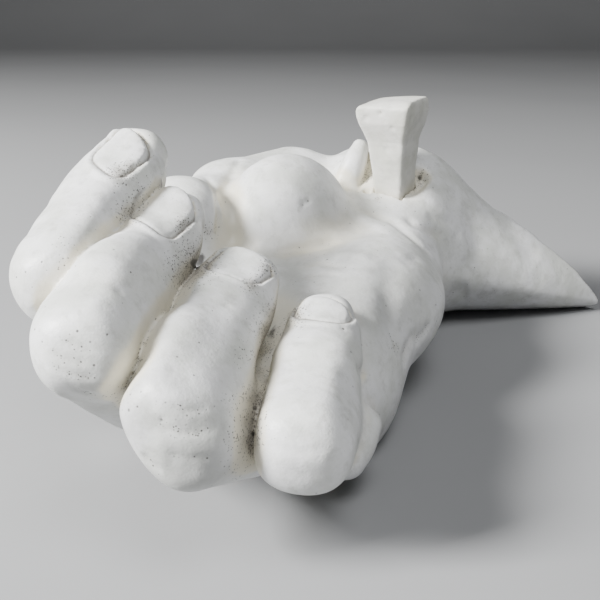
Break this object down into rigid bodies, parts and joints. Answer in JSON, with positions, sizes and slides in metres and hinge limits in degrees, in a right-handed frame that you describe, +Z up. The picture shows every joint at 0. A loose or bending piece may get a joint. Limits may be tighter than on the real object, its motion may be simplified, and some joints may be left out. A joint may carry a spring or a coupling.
{
  "type": "plaster hand cast",
  "caption": "Life-size plaster cast of a right hand lying palm up, fingers curled over the palm, with a separate square spike standing in a socket at the wrist and a slanted forearm stump.",
  "frame": {"origin": "middle of the object's footprint, on the flat underside", "axes": "+X towards the little-finger side, +Y from the knuckles to the forearm stump, +Z up out of the palm"},
  "size_m": [0.1126, 0.1762, 0.0676],
  "materials": {
    "plaster": "cast plaster, cool white and matte, with pinholes and dark specks in the creases",
    "cream_plaster": "carved plaster, warm cream, matte, with faint tool marks",
    "galvanised_wire": "dull zinc",
    "steel": "plain mild steel, slightly dull"
  },
  "bodies": {
    "root": {"hand_casting": "plaster", "spike": "cream_plaster", "spike_dowel": "steel", "forearm_rod": "steel", "wire_index": "galvanised_wire", "wire_middle": "galvanised_wire", "wire_ring": "galvanised_wire", "wire_little": "galvanised_wire", "wire_thumb": "galvanised_wire"}
  },
  "joints": []
}
